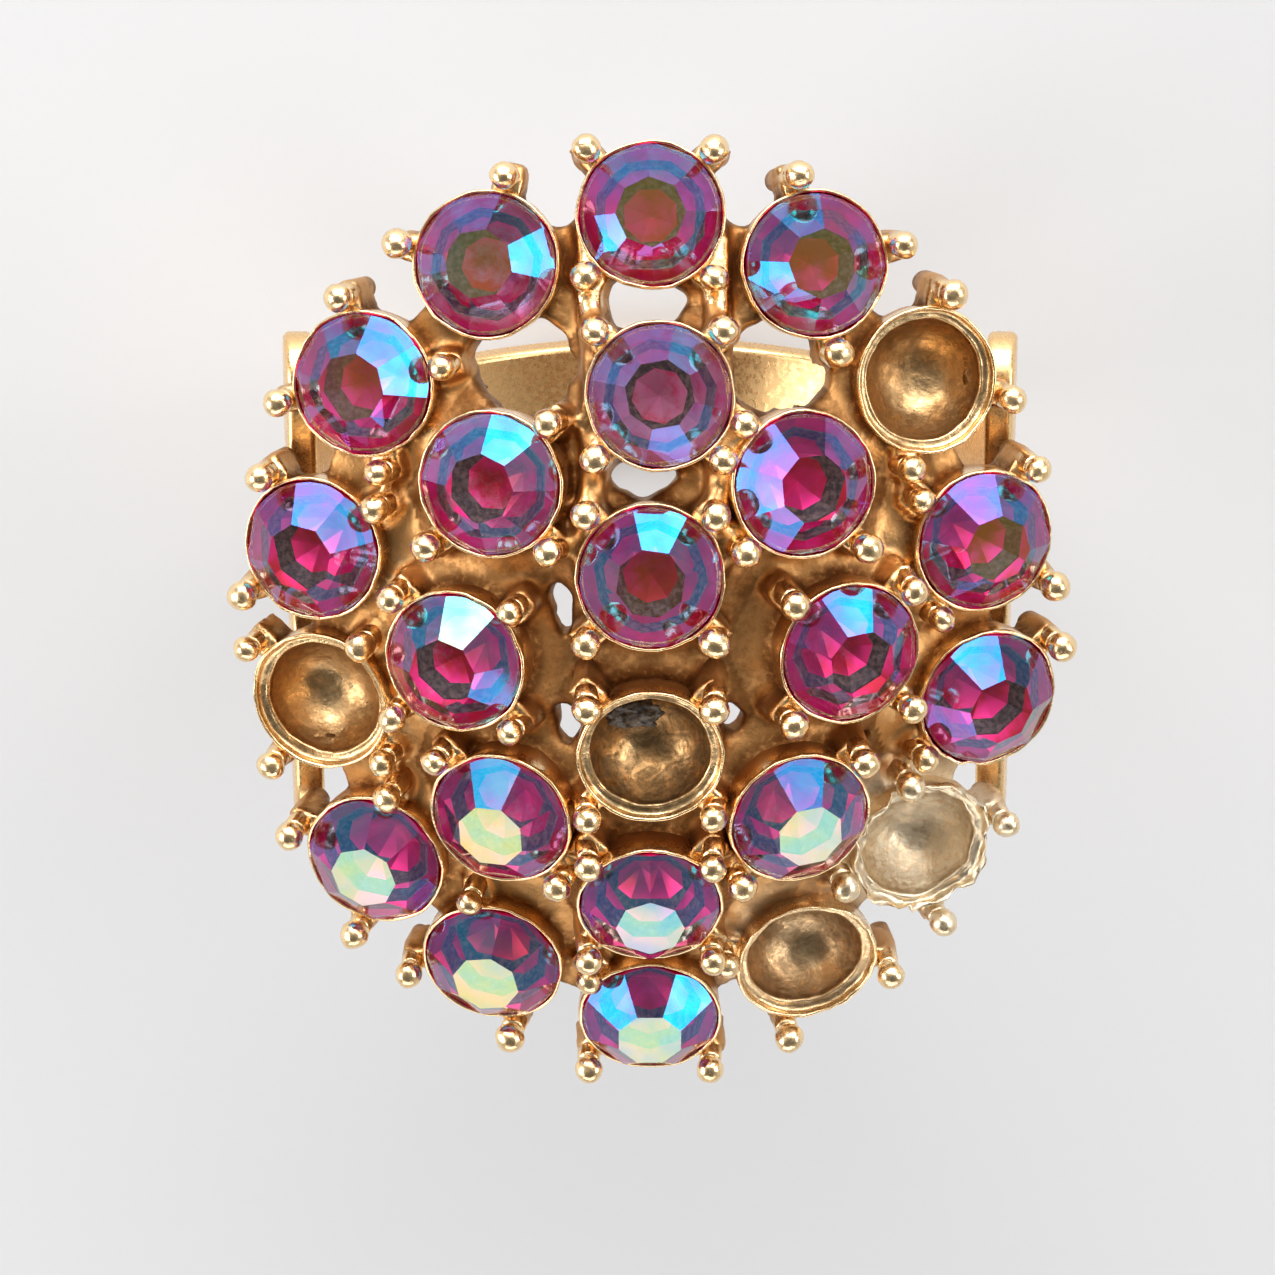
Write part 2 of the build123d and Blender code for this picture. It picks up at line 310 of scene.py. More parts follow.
def set_attribute(mesh: bpy.types.Mesh, name: str, values: np.ndarray, domain: str = "POINT") -> None:
    """Writes one number per vertex or face to a named attribute."""
    old = mesh.attributes.get(name)
    if old:
        mesh.attributes.remove(old)
    mesh.attributes.new(name, "FLOAT", domain).data.foreach_set("value", values.astype(np.float32))


def hand_work(mesh: bpy.types.Mesh, amount: float, scale: float, seed: float) -> None:
    """Moves each vertex a little by smooth noise, as wax worked by hand is never exact.

    Args:
        mesh: The mesh, in millimetres.
        amount: Largest move in millimetres.
        scale: Size of the unevenness in millimetres.
        seed: Offset into the noise.
    """
    points = points_of(mesh)
    shift = Vector((seed * 17.0, seed * 5.0, seed * 11.0))
    moved = [tuple(noise.noise_vector(Vector(p) / scale + shift) * amount) for p in points]
    set_points(mesh, points + np.array(moved))


def finish_piece(obj: bpy.types.Object, material: bpy.types.Material, nodes: tuple, smooth: bool = True,
                 body: str = BODY) -> bpy.types.Object:
    """Scales a piece to metres, dresses it and hands it to the frame.

    Args:
        obj: The piece, in millimetres, at the origin.
        material: Its finish. The mesh's own slots stay if it has several.
        nodes: CAD nodes that the piece stands for.
        smooth: Whether its faces are shaded smooth.
        body: The body that it rides on.

    Returns:
        The same object.
    """
    obj.data.transform(Matrix.Scale(MM, 4))
    if len(obj.data.materials) < 2:
        obj.data.materials.clear()
        obj.data.materials.append(material)
    obj.data.polygons.foreach_set("use_smooth", [smooth] * len(obj.data.polygons))
    obj.data.update()
    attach(obj, body)
    if nodes:
        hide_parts(*nodes)
    LOG.info("%s: %d faces", obj.name, len(obj.data.polygons))
    return obj


# ---- Node helpers -------------------------------------------------------------------------------
class Graph:
    """A short way to write a node tree."""

    def __init__(self, tree: bpy.types.NodeTree) -> None:
        """Starts with an empty tree."""
        self.tree = tree
        tree.nodes.clear()

    def node(self, kind: str, inputs: dict | None = None, **settings: object) -> bpy.types.Node:
        """Adds a node.

        Args:
            kind: The node's type.
            inputs: Values or output sockets by input name or number.
            settings: The node's own properties.

        Returns:
            The node.
        """
        made = self.tree.nodes.new(kind)
        for key, value in settings.items():
            setattr(made, key, value)
        for key, value in (inputs or {}).items():
            socket = made.inputs[key]
            if isinstance(value, bpy.types.NodeSocket):
                self.tree.links.new(value, socket)
            else:
                socket.default_value = value
        return made

    def maths(self, operation: str, a: object, b: object = 0.0, clamp: bool = False) -> bpy.types.NodeSocket:
        """The output of a Math node."""
        return self.node("ShaderNodeMath", {0: a, 1: b}, operation=operation, use_clamp=clamp).outputs[0]

    def ramp(self, value: object, low: float, high: float, to_low: float = 0.0,
             to_high: float = 1.0) -> bpy.types.NodeSocket:
        """A smooth step of value from low to high."""
        made = self.node("ShaderNodeMapRange", {"Value": value, "From Min": low, "From Max": high, "To Min": to_low,
                                                "To Max": to_high}, interpolation_type="SMOOTHSTEP")
        return made.outputs["Result"]

    def mix(self, amount: object, a: object, b: object, blend: str = "MIX") -> bpy.types.NodeSocket:
        """A colour mix."""
        made = self.node("ShaderNodeMix", data_type="RGBA", blend_type=blend)
        for index, value in ((0, amount), (6, a), (7, b)):
            if isinstance(value, bpy.types.NodeSocket):
                self.tree.links.new(value, made.inputs[index])
            else:
                made.inputs[index].default_value = value
        return made.outputs[2]

    def noise(self, scale: float, detail: float = 2.0, roughness: float = 0.5,
              distortion: float = 0.0, offset: tuple = (0, 0, 0)) -> bpy.types.NodeSocket:
        """Noise on the object's own coordinates, with scale in cells per millimetre."""
        place = self.node("ShaderNodeTexCoord").outputs["Object"]
        moved = self.node("ShaderNodeMapping", {"Vector": place, "Location": offset, "Scale": (scale / MM,) * 3})
        return self.node("ShaderNodeTexNoise", {"Vector": moved.outputs[0], "Scale": 1.0, "Detail": detail,
                                                "Roughness": roughness, "Distortion": distortion}).outputs["Fac"]

    def attribute(self, name: str) -> bpy.types.NodeSocket:
        """A number stored on the mesh."""
        return self.node("ShaderNodeAttribute", attribute_name=name).outputs["Fac"]

    def bump(self, height: object, strength: float, distance: float,
             normal: bpy.types.NodeSocket | None = None) -> bpy.types.NodeSocket:
        """A bump of distance millimetres."""
        inputs = {"Height": height, "Strength": strength, "Distance": distance * MM}
        if normal:
            inputs["Normal"] = normal
        return self.node("ShaderNodeBump", inputs).outputs["Normal"]


def new_material(name: str) -> tuple[bpy.types.Material, Graph]:
    """An empty node material and its graph."""
    material = bpy.data.materials.new(name)
    material.use_nodes = True
    return material, Graph(material.node_tree)


# ---- Finishes -----------------------------------------------------------------------------------
@dataclass(frozen=True)
class GiltFinish:
    """Gold plate on a casting, with brown antique wash and painted shade in the low places.

    Args:
        name: The material's name.
        bright: Plate on the high places.
        satin_and_shade: Darker plate lower down: duller plate, with painted shade of the low places.
        wash_and_shade: Colour of the antique wash, also used as painted shade in the low places and beside the cup
            walls.
        worn: Colour where the plate has gone.
        polish: Roughness of the high places.
        grit: Strength of the casting's grain.
    """

    name: str
    bright: tuple = (0.95, 0.69, 0.38, 1)
    satin_and_shade: tuple = (0.58, 0.31, 0.115, 1)
    wash_and_shade: tuple = (0.15, 0.06, 0.018, 1)
    grime: tuple = (0.055, 0.038, 0.02, 1)
    worn: tuple = (0.80, 0.68, 0.50, 1)
    polish: float = 0.17
    grit: float = 1.0

    def material(self) -> bpy.types.Material:
        """Builds the node material."""
        material, g = new_material(self.name)
        depth, crevice, worn = g.attribute("depth"), g.attribute("crevice"), g.attribute("worn")
        soiled = g.attribute("soiled")
        blotch, grain, fine = g.noise(0.9, 4.0, 0.6), g.noise(6.0, 3.0, 0.6), g.noise(20.0, 2.0, 0.5)
        low = g.maths("ADD", depth, g.maths("MULTIPLY", g.maths("SUBTRACT", blotch, 0.5), 0.9))
        # Painted shade, partly duller plate: the colour goes from bright to satin with depth below the rims.
        colour = g.mix(g.ramp(low, -0.05, 0.65), self.bright, self.satin_and_shade)
        speckled = g.maths("ADD", low, g.maths("MULTIPLY", g.maths("SUBTRACT", grain, 0.5), 1.0))
        # Painted shade, partly antique wash: the deep places and the angles beside the cup walls darken towards the
        # wash colour.
        dark = g.maths("MAXIMUM", g.ramp(speckled, 0.95, 2.0, 0.0, 0.85),
                       g.maths("MULTIPLY", crevice, g.ramp(grain, 0.25, 0.55, 0.45, 1.0)), True)
        colour = g.mix(g.maths("MULTIPLY", dark, 0.9), colour, self.wash_and_shade)
        specks = g.ramp(fine, 0.60, 0.72, 0.0, 0.4 * self.grit)
        colour = g.mix(specks, colour, self.wash_and_shade)
        rubbed = g.maths("MULTIPLY", worn, g.ramp(grain, 0.3, 0.6, 0.55, 1.0))
        colour = g.mix(rubbed, colour, self.worn)
        stain = g.maths("MULTIPLY", soiled, g.ramp(g.noise(1.6, 5.0, 0.7, 0.8), 0.36, 0.60))
        colour = g.mix(g.maths("MULTIPLY", stain, 0.7), colour, self.grime)
        rough = g.maths("ADD", g.ramp(low, 0.1, 0.9, self.polish, 0.46), g.ramp(grain, 0.35, 0.75, 0.0, 0.14))
        rough = g.maths("ADD", rough, g.maths("MULTIPLY", g.maths("ADD", rubbed, stain), 0.15))
        normal = g.bump(g.noise(2.4, 3.0, 0.6), 0.4 * self.grit, 0.05)
        normal = g.bump(grain, 0.4 * self.grit, 0.024, normal)
        normal = g.bump(fine, 0.3 * self.grit, 0.008, normal)
        shader = g.node("ShaderNodeBsdfPrincipled", {"Base Color": colour, "Roughness": rough, "Metallic": 1.0,
                                                     "Normal": normal})
        g.node("ShaderNodeOutputMaterial", {"Surface": shader.outputs[0]})
        return material


@dataclass(frozen=True)
class CoatedGlass:
    """The crown of a stone: clear glass under a thin iridescent coating."""

    name: str = "coated_crown"
    tint: tuple = (1.0, 0.80, 0.90, 1)
    film_index: float = 2.3

    def material(self) -> bpy.types.Material:
        """Builds the node material."""
        material, g = new_material(self.name)
        scratch = g.noise(7.0, 5.0, 0.7, 0.6)
        rough = g.ramp(scratch, 0.58, 0.80, 0.02, 0.14)
        film = g.maths("MULTIPLY", g.attribute("film"), g.ramp(g.noise(0.8, 2.0), 0.3, 0.7, 0.96, 1.04))
        shader = g.node("ShaderNodeBsdfPrincipled", {
            "Base Color": self.tint, "Roughness": rough, "IOR": 1.56, "Transmission Weight": 1.0,
            "Thin Film Thickness": film, "Thin Film IOR": self.film_index,
            "Normal": g.bump(scratch, 0.03, 0.004)})
        g.node("ShaderNodeOutputMaterial", {"Surface": shader.outputs[0]})
        return material


@dataclass(frozen=True)
class StoneFoil:
    """The ruby foil on a stone's back, gone grey in patches on some stones."""

    name: str = "ruby_foil"
    deep: tuple = (0.50, 0.002, 0.022, 1)
    light: tuple = (0.74, 0.012, 0.19, 1)
    aged: tuple = (0.50, 0.25, 0.34, 1)

    def material(self) -> bpy.types.Material:
        """Builds the node material."""
        material, g = new_material(self.name)
        patches = g.ramp(g.noise(0.7, 3.0, 0.6), 0.38, 0.62)
        colour = g.mix(patches, self.deep, self.light)
        age = g.attribute("age")
        gone = g.ramp(g.maths("ADD", age, g.maths("MULTIPLY", g.noise(1.3, 4.0, 0.7), 0.9)), 0.85, 1.15)
        colour = g.mix(g.maths("MULTIPLY", gone, 0.75), colour, self.aged)
        rough = g.maths("ADD", 0.30, g.maths("MULTIPLY", gone, 0.2))
        shader = g.node("ShaderNodeBsdfPrincipled", {"Base Color": colour, "Roughness": rough, "Metallic": 0.55})
        g.node("ShaderNodeOutputMaterial", {"Surface": shader.outputs[0]})
        return material


@dataclass(frozen=True)
class CementFinish:
    """Old dark cement."""

    name: str = "old_cement"

    def material(self) -> bpy.types.Material:
        """Builds the node material."""
        material, g = new_material(self.name)
        lumps = g.noise(6.0, 4.0, 0.6)
        colour = g.mix(g.ramp(lumps, 0.35, 0.7), (0.018, 0.013, 0.01, 1), (0.16, 0.12, 0.09, 1))
        shader = g.node("ShaderNodeBsdfPrincipled", {"Base Color": colour, "Roughness": 0.38,
                                                     "Normal": g.bump(lumps, 0.6, 0.05)})
        g.node("ShaderNodeOutputMaterial", {"Surface": shader.outputs[0]})
        return material


# ---- Geometry Nodes: one shape on every place -----------------------------------------------------
@dataclass
class Repeater:
    """Sets a shape on points that carry a turn, with a little seeded scatter in size and lean."""

    name: str
    scatter: float = 0.0
    lean: float = 0.0
    seed: int = 0

    def tree(self) -> bpy.types.NodeTree:
        """Builds the node group with its named inputs."""
        tree = bpy.data.node_groups.new(self.name, "GeometryNodeTree")
        for label, kind in (("Places", "NodeSocketGeometry"), ("Shape", "NodeSocketObject"),
                            ("Finish", "NodeSocketMaterial"), ("Size Scatter", "NodeSocketFloat"),
                            ("Lean", "NodeSocketFloat"), ("Seed", "NodeSocketInt")):
            tree.interface.new_socket(label, in_out="INPUT", socket_type=kind)
        tree.interface.new_socket("Result", in_out="OUTPUT", socket_type="NodeSocketGeometry")
        g = Graph(tree)
        given = g.node("NodeGroupInput").outputs
        shape = g.node("GeometryNodeObjectInfo", {"Object": given["Shape"]}).outputs["Geometry"]
        turn = g.node("GeometryNodeInputNamedAttribute", {"Name": "turn"}, data_type="QUATERNION").outputs[0]
        spread = given["Size Scatter"]
        least, most = g.maths("SUBTRACT", 1.0, spread), g.maths("ADD", 1.0, spread)
        size = g.node("FunctionNodeRandomValue", {2: least, 3: most, "Seed": given["Seed"]}, data_type="FLOAT")
        angle = given["Lean"]
        back = g.maths("MULTIPLY", angle, -1.0)
        low = g.node("ShaderNodeCombineXYZ", {"X": back, "Y": back, "Z": back}).outputs[0]
        high = g.node("ShaderNodeCombineXYZ", {"X": angle, "Y": angle, "Z": angle}).outputs[0]
        tip = g.node("FunctionNodeRandomValue", {0: low, 1: high, "Seed": given["Seed"]}, data_type="FLOAT_VECTOR")
        euler = g.node("FunctionNodeEulerToRotation", {0: tip.outputs[0]}).outputs[0]
        leant = g.node("FunctionNodeRotateRotation", {"Rotation": turn, "Rotate By": euler},
                       rotation_space="LOCAL").outputs[0]
        placed = g.node("GeometryNodeInstanceOnPoints", {"Points": given["Places"], "Instance": shape,
                                                         "Rotation": leant, "Scale": size.outputs[1]})
        real = g.node("GeometryNodeRealizeInstances", {"Geometry": placed.outputs[0]}).outputs[0]
        dressed = g.node("GeometryNodeSetMaterial", {"Geometry": real, "Material": given["Finish"]}).outputs[0]
        g.node("NodeGroupOutput", {"Result": dressed})
        return tree

    def run(self, shape: bpy.types.Object, places: list[tuple[Vector, Quaternion]],
            finish: bpy.types.Material) -> bpy.types.Object:
        """Puts the shape on each place and returns the result as one plain mesh.

        Args:
            shape: The piece to repeat, round its own origin. It is removed afterwards.
            places: Centre and turn of each copy.
            finish: The material of the copies.

        Returns:
            An object with a plain mesh and no modifiers.
        """
        obj = mesh_object(self.name, [], [])
        mesh = bpy.data.meshes.new(self.name)
        mesh.from_pydata([tuple(p) for p, _ in places], [], [])
        turns = mesh.attributes.new("turn", "QUATERNION", "POINT")
        turns.data.foreach_set("value", [part for _, q in places for part in q])
        obj.data = mesh
        modifier = obj.modifiers.new("repeat", "NODES")
        modifier.node_group = self.tree()
        values = {"Shape": shape, "Finish": finish, "Size Scatter": self.scatter, "Lean": self.lean,
                  "Seed": self.seed}
        for item in modifier.node_group.interface.items_tree:
            if item.in_out == "INPUT" and item.name in values:
                modifier[item.identifier] = values[item.name]
        settle(obj)
        bpy.data.objects.remove(shape)
        return obj


# ---- The casting --------------------------------------------------------------------------------
@dataclass
class CastHead:
    """The one-piece casting: cups, claws and the web that ties them together."""

    layout: DomeLayout
    finish: bpy.types.Material
    stone_r: float = 1.95
    rim_r: float = 2.08
    ledge_r: float = 1.70
    ledge_z: float = -0.33
    bowl_depth: float = 1.82
    cup_depth: float = 2.1
    post_r: float = 0.345
    bead_r: float = 0.41
    claw_root: float = 1.75
    web_top: float = 0.80
    web_thick: float = 0.85
    web_sag: float = 0.32
    bar_reach: float = 6.3
    voxel: float = 0.142
    worn_cups: dict = field(default_factory=lambda: {"outer_06": 1.0, "outer_07": 0.25})
    dirt: dict = field(default_factory=lambda: {"crown_02": 1.0, "outer_06": 0.25, "outer_11": 0.45})
    voids: tuple = (
        (-3.6, 7.7, 1.5, 1.25), (3.7, 7.8, 1.6, 1.3), (-0.2, 9.5, 1.15, 0.7), (-0.2, 5.0, 1.1, 0.5),
        (-2.44, 1.15, 0.3, 0.85), (-2.35, -2.4, 0.36, 0.65), (2.26, -2.1, 0.33, 0.4),
        (4.05, -3.0, 0.24, 0.24), (6.1, -3.3, 0.2, 0.25), (2.3, -7.4, 0.2, 0.2), (2.1, 2.0, 0.14, 0.5))

    def bowl_z(self, radius: np.ndarray) -> np.ndarray:
        """Height of the bowl's floor at a distance from the cup's axis."""
        sag = self.bowl_depth + self.ledge_z
        ball = (self.ledge_r**2 + sag**2) / (2 * sag)
        return ball - self.bowl_depth - np.sqrt(np.maximum(ball**2 - radius**2, 0.0))

    def _cup_shape(self) -> bpy.types.Object:
        """One crisp cup: a rolled rim, the seat, the ledge's raised edge and the round bowl."""
        outside = [(0, -self.cup_depth), (1.40, -self.cup_depth), (1.52, -2.02), (1.88, -1.32), (2.0, -0.85),
                   (self.rim_r - 0.03, -0.40), (self.rim_r, -0.10), (self.rim_r, 0.0)]
        lip = [(self.rim_r - 0.012, 0.035), (self.rim_r - 0.04, 0.052), (self.rim_r - 0.075, 0.045),
               (self.rim_r - 0.105, 0.015), (self.stone_r + 0.02, -0.03)]
        seat = [(self.stone_r + 0.015, -0.14), (self.stone_r - 0.02, -0.20), (self.ledge_r + 0.11, -0.27),
                (self.ledge_r + 0.06, -0.245), (self.ledge_r + 0.01, -0.26), (self.ledge_r - 0.02, -0.34)]
        radii = self.ledge_r * np.sin(np.linspace(0.47 * pi, 0.0, 12))
        bowl = [(float(r), float(z)) for r, z in zip(radii, self.bowl_z(radii))]
        verts, faces = lathe(outside + lip + seat + bowl, 64)
        return mesh_object("cup_shape", verts, faces)

    def _claw_shape(self) -> bpy.types.Object:
        """One claw on the cup's X side: a tapered post under a polished bead."""
        neck = self.layout.bead_z - self.bead_r * 0.80
        bead = [(self.bead_r * sin(t), self.layout.bead_z - self.bead_r * cos(t))
                for t in np.linspace(0.2 * pi, pi, 12)]
        profile = [(0, -self.claw_root), (self.post_r * 0.95, -self.claw_root), (self.post_r * 1.08, -1.0),
                   (self.post_r, -0.4), (self.post_r * 0.93, neck - 0.1), (self.post_r * 0.80, neck)] + bead
        profile[-1] = (0, profile[-1][1])
        verts, faces = lathe(profile, 22)
        return mesh_object("claw_shape", verts, faces)

    def cups(self) -> bpy.types.Object:
        """All the cups, each a little uneven."""
        places = [(seat.centre, seat.turn) for seat in self.layout.seats]
        obj = Repeater("cups", seed=3).run(self._cup_shape(), places, self.finish)
        hand_work(obj.data, 0.045, 1.3, 1.0)
        hand_work(obj.data, 0.03, 0.32, 2.0)
        self._crumble(obj.data)
        return obj

    def _crumble(self, mesh: bpy.types.Mesh) -> None:
        """Roughens the rims of the worn cups."""
        points = points_of(mesh)
        ragged = np.array([tuple(noise.noise_vector(Vector(p) * 2.6)) for p in points])
        high = np.clip(1.0 - self.layout.depth_below_girdle(points) / 0.5, 0.0, 1.0)
        set_points(mesh, points + ragged * (self._worn(points) * high * 0.22)[:, None])

    def claws(self) -> bpy.types.Object:
        """All the claws that are left."""
        reach = self.layout.claw_reach
        places = []
        for seat, angle in self.layout.claws:
            spot = seat.place(reach * cos(radians(angle)), reach * sin(radians(angle)), 0)
            places.append((spot, seat.turn @ Quaternion((0, 0, 1), radians(angle))))
        obj = Repeater("claws", scatter=0.07, lean=radians(4), seed=11).run(self._claw_shape(), places, self.finish)
        hand_work(obj.data, 0.05, 0.8, 3.0)
        hand_work(obj.data, 0.015, 0.25, 4.0)
        return obj

    def _sheet(self) -> tuple[list, list]:
        """The web's sheet: it hangs between the cups a little below their rims, with its voids left open."""
        seats = self.layout.seats
        plan = [Vector((s.centre.x, s.centre.y)) for s in seats]
        triangles = delaunay_2d_cdt(plan, [], [], 0, 1e-6)[2]
        steps = 14
        grid: dict[tuple, int] = {}
        tops, bottoms, cells = [], [], []
        for triangle in triangles:
            corners = [seats[i] for i in triangle]
            spans = [(a.centre - b.centre).length for a, b in combinations(corners, 2)]
            if max(spans) > self.bar_reach * 1.12:
                continue
            index = {}
            for i in range(steps + 1):
                for j in range(steps + 1 - i):
                    weights = (i / steps, j / steps, (steps - i - j) / steps)
                    point = sum((w * s.centre for w, s in zip(weights, corners)), Vector())
                    axis = sum((w * s.axis for w, s in zip(weights, corners)), Vector()).normalized()
                    key = (round(point.x, 4), round(point.y, 4))
                    if key not in grid:
                        grid[key] = len(tops)
                        near = min((s.centre - point).length for s in seats)
                        sink = self.web_top + self.web_sag * min(max(near - 2.1, 0.0) / 0.9, 1.0)
                        tops.append(point - axis * sink)
                        bottoms.append(point - axis * (sink + self.web_thick))
                    index[i, j] = grid[key]
            for i in range(steps):
                for j in range(steps - i):
                    cells.append((index[i, j], index[i + 1, j], index[i, j + 1]))
                    if j < steps - i - 1:
                        cells.append((index[i + 1, j], index[i + 1, j + 1], index[i, j + 1]))
        kept = [cell for cell in cells if not self._open(sum((tops[k] for k in cell), Vector()) / 3)]
        return self._close_sheet(tops, bottoms, kept)

    def _open(self, point: Vector) -> bool:
        """Whether a point of the sheet falls in a void."""
        return any(((point.x - x) / rx) ** 2 + ((point.y - y) / ry) ** 2 < 1 for x, y, rx, ry in self.voids)

    @staticmethod
    def _close_sheet(tops: list, bottoms: list, cells: list) -> tuple[list, list]:
        """Gives the sheet its underside and the walls along every open edge."""
        count = len(tops)
        sides: dict[frozenset, tuple] = {}
        for cell in cells:
            for a, b in zip(cell, cell[1:] + cell[:1]):
                key = frozenset((a, b))
                sides[key] = () if key in sides else (a, b)
        walls = [(a, b, b + count, a + count) for a, b in (edge for edge in sides.values() if edge)]
        return tops + bottoms, list(cells) + [tuple(k + count for k in reversed(c)) for c in cells] + walls

    def _rails(self) -> list[tuple[list, list]]:
        """Bars along the outer row, round the voids and from each claw to its cup."""
        parts = []
        seats = {s.name: s for s in self.layout.seats}
        for a, b in combinations(self.layout.seats, 2):
            span = (a.centre - b.centre).length
            rowed = a.row is Row.OUTER and b.row is Row.OUTER
            if span < self.bar_reach * 0.9 and rowed:
                up = (a.axis + b.axis).normalized()
                inward = Vector((-(a.centre + b.centre).x, -(a.centre + b.centre).y, 0)).normalized() * 0.15
                parts.append(box_between(a.centre - up * 1.15 + inward, b.centre - up * 1.15 + inward, up, 1.15, 1.2))
        for first, second in (("outer_01", "inner_01"), ("inner_01", "crown_01")):
            for side in (-1, 1):
                a, b = seats[first], seats[second]
                up = (a.axis + b.axis).normalized()
                lift = -up * 1.0
                shift = Vector((side * 1.75, 0, 0))
                parts.append(box_between(a.centre + shift + lift, b.centre + shift + lift, up, 0.7, 1.1))
        for seat, angle in self.layout.claws:
            c, s = cos(radians(angle)), sin(radians(angle))
            low = seat.place(self.layout.claw_reach * c, self.layout.claw_reach * s, -0.80)
            inner = seat.place(1.90 * c, 1.90 * s, -0.85)
            parts.append(box_between(inner, low, seat.axis, 0.85, 1.10))
            root = seat.place(self.layout.claw_reach * c * 0.96, self.layout.claw_reach * s * 0.96, -self.claw_root + 0.2)
            head = seat.place(self.layout.claw_reach * c, self.layout.claw_reach * s, -0.38)
            parts.append(box_between(root, head, seat.turn @ Vector((c, s, 0)), 0.76, 0.76))
        return parts

    def _feet(self) -> list[tuple[list, list]]:
        """The feet that stand on the hoop's shoulders, from the frame's own sizes."""
        low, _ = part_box("head_casting")
        hoop_low, hoop_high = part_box("hoop")
        seats = {s.name: s for s in self.layout.seats}
        wall_x = hoop_high.x / MM - 0.80
        parts = []
        for side, name in ((1, "outer_04"), (1, "outer_05"), (-1, "outer_11"), (-1, "outer_12")):
            seat = seats[name]
            foot = Vector((side * wall_x, seat.centre.y, low.z / MM))
            parts.append(box_between(foot + Vector((0, -1.2, 0.35)), foot + Vector((0, 1.2, 0.35)),
                                     Vector((0, 0, 1)), 0.75, 0.7))
            parts.append(box_between(foot + Vector((0, 0, 0.2)), seat.place(0, 0, -1.4), Vector((0, 1, 0)), 0.9, 2.2))
        return parts

    def web(self) -> bpy.types.Object:
        """The web, the cups' outsides and the claws' roots, melted into one soft surface."""
        parts = [self._sheet()] + self._rails() + self._feet()
        body = [(0, -self.cup_depth), (1.36, -self.cup_depth), (1.86, -1.32), (1.97, -0.8), (0, -0.72)]
        for seat in self.layout.seats:
            verts, faces = lathe(body, 40)
            parts.append(([seat.place(*v) for v in verts], faces))
        verts, faces = [], []
        for part_verts, part_faces in parts:
            faces += [tuple(k + len(verts) for k in f) for f in part_faces]
            verts += part_verts
        obj = mesh_object("web", verts, faces)
        remesh = obj.modifiers.new("melt", "REMESH")
        remesh.mode = "VOXEL"
        remesh.voxel_size = self.voxel
        remesh.adaptivity = 0.0
        soften = obj.modifiers.new("soften", "SMOOTH")
        soften.factor = 0.6
        soften.iterations = 7
        settle(obj)
        self._open_bowls(obj.data)
        hand_work(obj.data, 0.10, 1.5, 5.0)
        hand_work(obj.data, 0.03, 0.45, 6.0)
        return obj

    def _open_bowls(self, mesh: bpy.types.Mesh) -> None:
        """Presses the melted surface down under each crisp bowl."""
        points = points_of(mesh)
        for seat in self.layout.seats:
            own = seat.local(points)
            reach = np.hypot(own[:, 0], own[:, 1])
            floor = self.bowl_z(reach) - 0.14
            inside = (reach < 1.80) & (own[:, 2] > floor) & (own[:, 2] < 0.6)
            own[inside, 2] = floor[inside]
            turn = np.array(seat.turn.to_matrix())
            points[inside] = (own @ turn.T + np.array(seat.centre))[inside]
        set_points(mesh, points)

    def _crevice_shade(self, points: np.ndarray) -> np.ndarray:
        """How deep in the angle between the web and a cup's wall each point lies, from 0 to 1."""
        # The web is painted darker here, as shade in the angle by each cup wall.
        dark = np.zeros(len(points))
        for seat in self.layout.seats:
            own = seat.local(points)
            gap = np.hypot(own[:, 0], own[:, 1]) - self.rim_r
            beside = np.exp(-(np.maximum(gap, 0.0) / 0.22) ** 2) * (own[:, 2] < -0.4)
            dark = np.maximum(dark, beside)
        return dark

    def _worn(self, points: np.ndarray) -> np.ndarray:
        """Where the plate has rubbed off, from 0 to 1."""
        worn = np.zeros(len(points))
        for seat in self.layout.seats:
            if seat.name in self.worn_cups:
                gap = np.linalg.norm(points - np.array(seat.centre), axis=1)
                worn = np.maximum(worn, self.worn_cups[seat.name] * np.clip((3.3 - gap) / 0.9, 0, 1))
        return worn

    def _soiled(self, points: np.ndarray) -> np.ndarray:
        """The floors of the empty cups, where dirt has gathered, from 0 to 1."""
        soiled = np.zeros(len(points))
        for seat in (s for s in self.layout.seats if not s.stone):
            own = seat.local(points)
            inside = (np.hypot(own[:, 0], own[:, 1]) < self.stone_r) & (abs(own[:, 2] + 0.9) < 1.2)
            soiled[inside] = self.dirt.get(seat.name, 0.6)
        return soiled

    def build(self) -> None:
        """Makes the three pieces of the casting and stores the depth that the wash and the painted shade follow."""
        pieces = [self.web(), self.cups(), self.claws()]
        for number, piece in enumerate(pieces):
            points = points_of(piece.data)
            soiled = self._soiled(points)
            depth = self.layout.depth_below_girdle(points)
            set_attribute(piece.data, "depth", np.where(soiled > 0, np.clip(depth, 0.0, 0.45), depth))
            # Painted shade in the angle between the web and the cup walls, on the web only.
            set_attribute(piece.data, "crevice", self._crevice_shade(points) if number == 0 else np.zeros(len(points)))
            set_attribute(piece.data, "worn", self._worn(points))
            set_attribute(piece.data, "soiled", soiled)
            finish_piece(piece, self.finish, ("head_casting",) if number == 0 else ())


